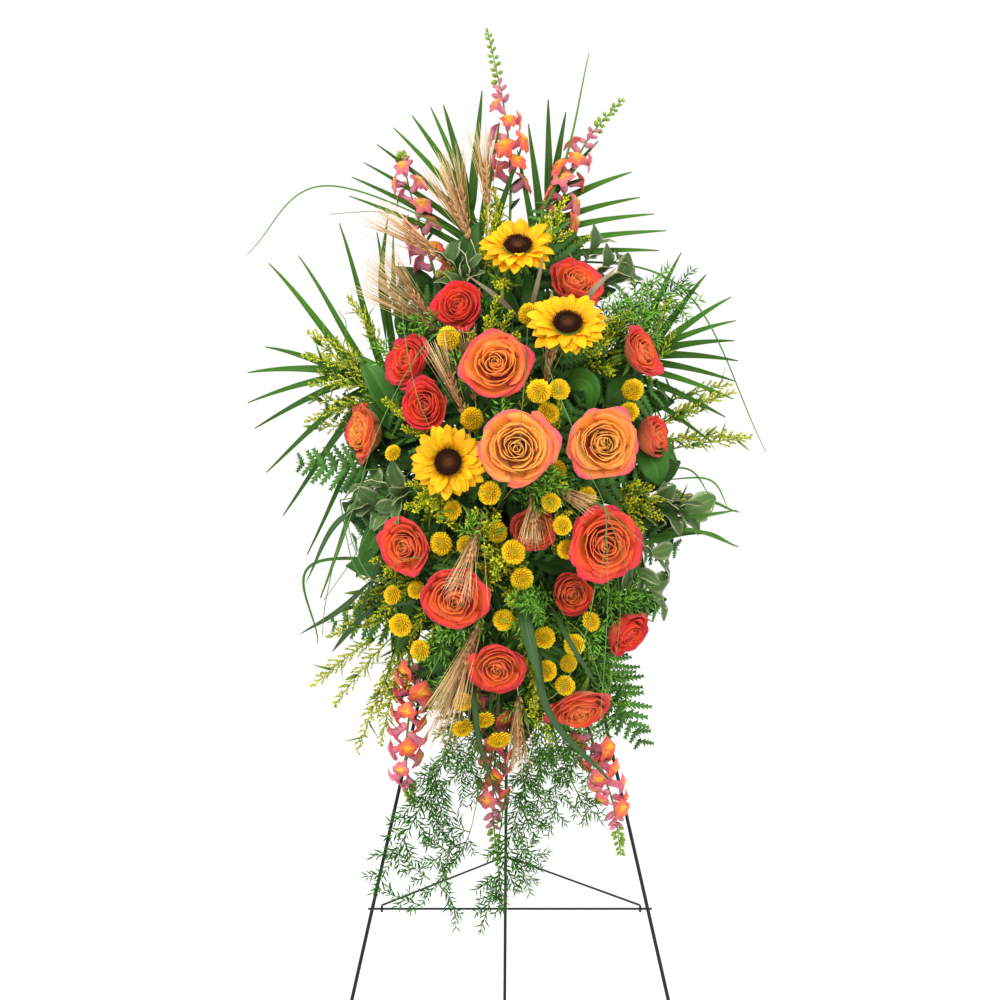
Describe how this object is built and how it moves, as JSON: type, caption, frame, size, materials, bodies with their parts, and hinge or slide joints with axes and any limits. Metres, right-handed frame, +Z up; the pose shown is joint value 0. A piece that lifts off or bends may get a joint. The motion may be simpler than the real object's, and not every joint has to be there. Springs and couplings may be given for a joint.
{
  "type": "standing funeral spray",
  "caption": "Tall oval spray of roses, sunflowers, snapdragons and greenery in a foam cage on a folding three-legged wire easel.",
  "frame": {"origin": "on the floor, at the middle of the box round the whole spray", "axes": "+Z up, +X to the right of a viewer in front, +Y away from that viewer"},
  "size_m": [0.744, 0.5625, 1.615],
  "materials": {
    "enamelled_wire": "satin dark green enamel",
    "cage_plastic": "satin green plastic",
    "wet_foam": "matt wet floral foam",
    "rose_coral": "soft matt petals",
    "rose_red": "soft matt petals",
    "rose_peach": "soft matt petals",
    "sunflower_gold": "soft matt petals",
    "sunflower_disc": "rough seed disc",
    "snapdragon_pink": "soft matt petals",
    "pom_yellow": "soft matt petals",
    "solidago_green": "soft small florets",
    "wheat_straw": "dry straw",
    "palm_green": "waxy leaf",
    "fern_green": "waxy leaf",
    "asparagus_green": "waxy leaf",
    "pittosporum_green": "waxy leaf",
    "leaf_green": "waxy leaf",
    "grass_green": "waxy leaf"
  },
  "bodies": {
    "stand": {"asparagus_low_left": "asparagus_green", "asparagus_low_mid": "asparagus_green", "asparagus_right": "asparagus_green", "broad_leaf_left": "leaf_green", "broad_leaf_right": "leaf_green", "easel_crossbar": "enamelled_wire", "easel_leg_left": "enamelled_wire", "easel_leg_right": "enamelled_wire", "easel_shelf_wire": "enamelled_wire", "easel_top_wire": "enamelled_wire", "foam_block": "wet_foam", "foam_cage": "cage_plastic", "grass_low": "grass_green", "grass_top": "grass_green", "leatherleaf_left": "fern_green", "leatherleaf_low_right": "fern_green", "palm_left": "palm_green", "palm_right": "palm_green", "palm_top_left": "palm_green", "palm_top_right": "palm_green", "pittosporum_left": "pittosporum_green", "pittosporum_right": "pittosporum_green", "pom_spray_left": "pom_yellow", "pom_spray_low_left": "pom_yellow", "pom_spray_low_right": "pom_yellow", "pom_spray_right": "pom_yellow", "pom_spray_top": "pom_yellow", "rose_01_03_04": "rose_red", "rose_02": "rose_peach", "rose_05": "rose_peach", "rose_06": "rose_peach", "rose_07": "rose_peach", "rose_08": "rose_coral", "rose_09_10": "rose_coral", "rose_11": "rose_coral", "rose_12_13": "rose_coral", "rose_14_15": "rose_coral", "rose_16_18": "rose_red", "rose_17": "rose_coral", "snapdragon_01": "snapdragon_pink", "snapdragon_02": "snapdragon_pink", "snapdragon_03": "snapdragon_pink", "snapdragon_04": "snapdragon_pink", "snapdragon_05": "snapdragon_pink", "snapdragon_06": "snapdragon_pink", "solidago_left": "solidago_green", "solidago_low_left": "solidago_green", "solidago_mid": "solidago_green", "solidago_right": "solidago_green", "solidago_top": "solidago_green", "sunflower_01": "sunflower_gold", "sunflower_01_disc": "sunflower_disc", "sunflower_02": "sunflower_gold", "sunflower_02_disc": "sunflower_disc", "sunflower_03": "sunflower_gold", "sunflower_03_disc": "sunflower_disc", "wheat_mid": "wheat_straw", "wheat_top": "wheat_straw"},
    "rear_leg": {"easel_rear_leg": "enamelled_wire"},
    "brace": {"easel_brace": "enamelled_wire"}
  },
  "joints": [
    {"name": "rear_leg_fold", "type": "hinge", "parent": "stand", "child": "rear_leg", "pos_m": [0.005, 0.0732, 1.185], "axis": [1, 0, 0], "range_deg": [-18, 0]},
    {"name": "brace_drop", "type": "hinge", "parent": "stand", "child": "brace", "pos_m": [0.005, -0.0669, 0.352], "axis": [1, 0, 0], "range_deg": [-80, 0]}
  ],
  "couplings": [
    {"joint": "brace_drop", "follows": "rear_leg_fold", "ratio": 4.4444}
  ]
}
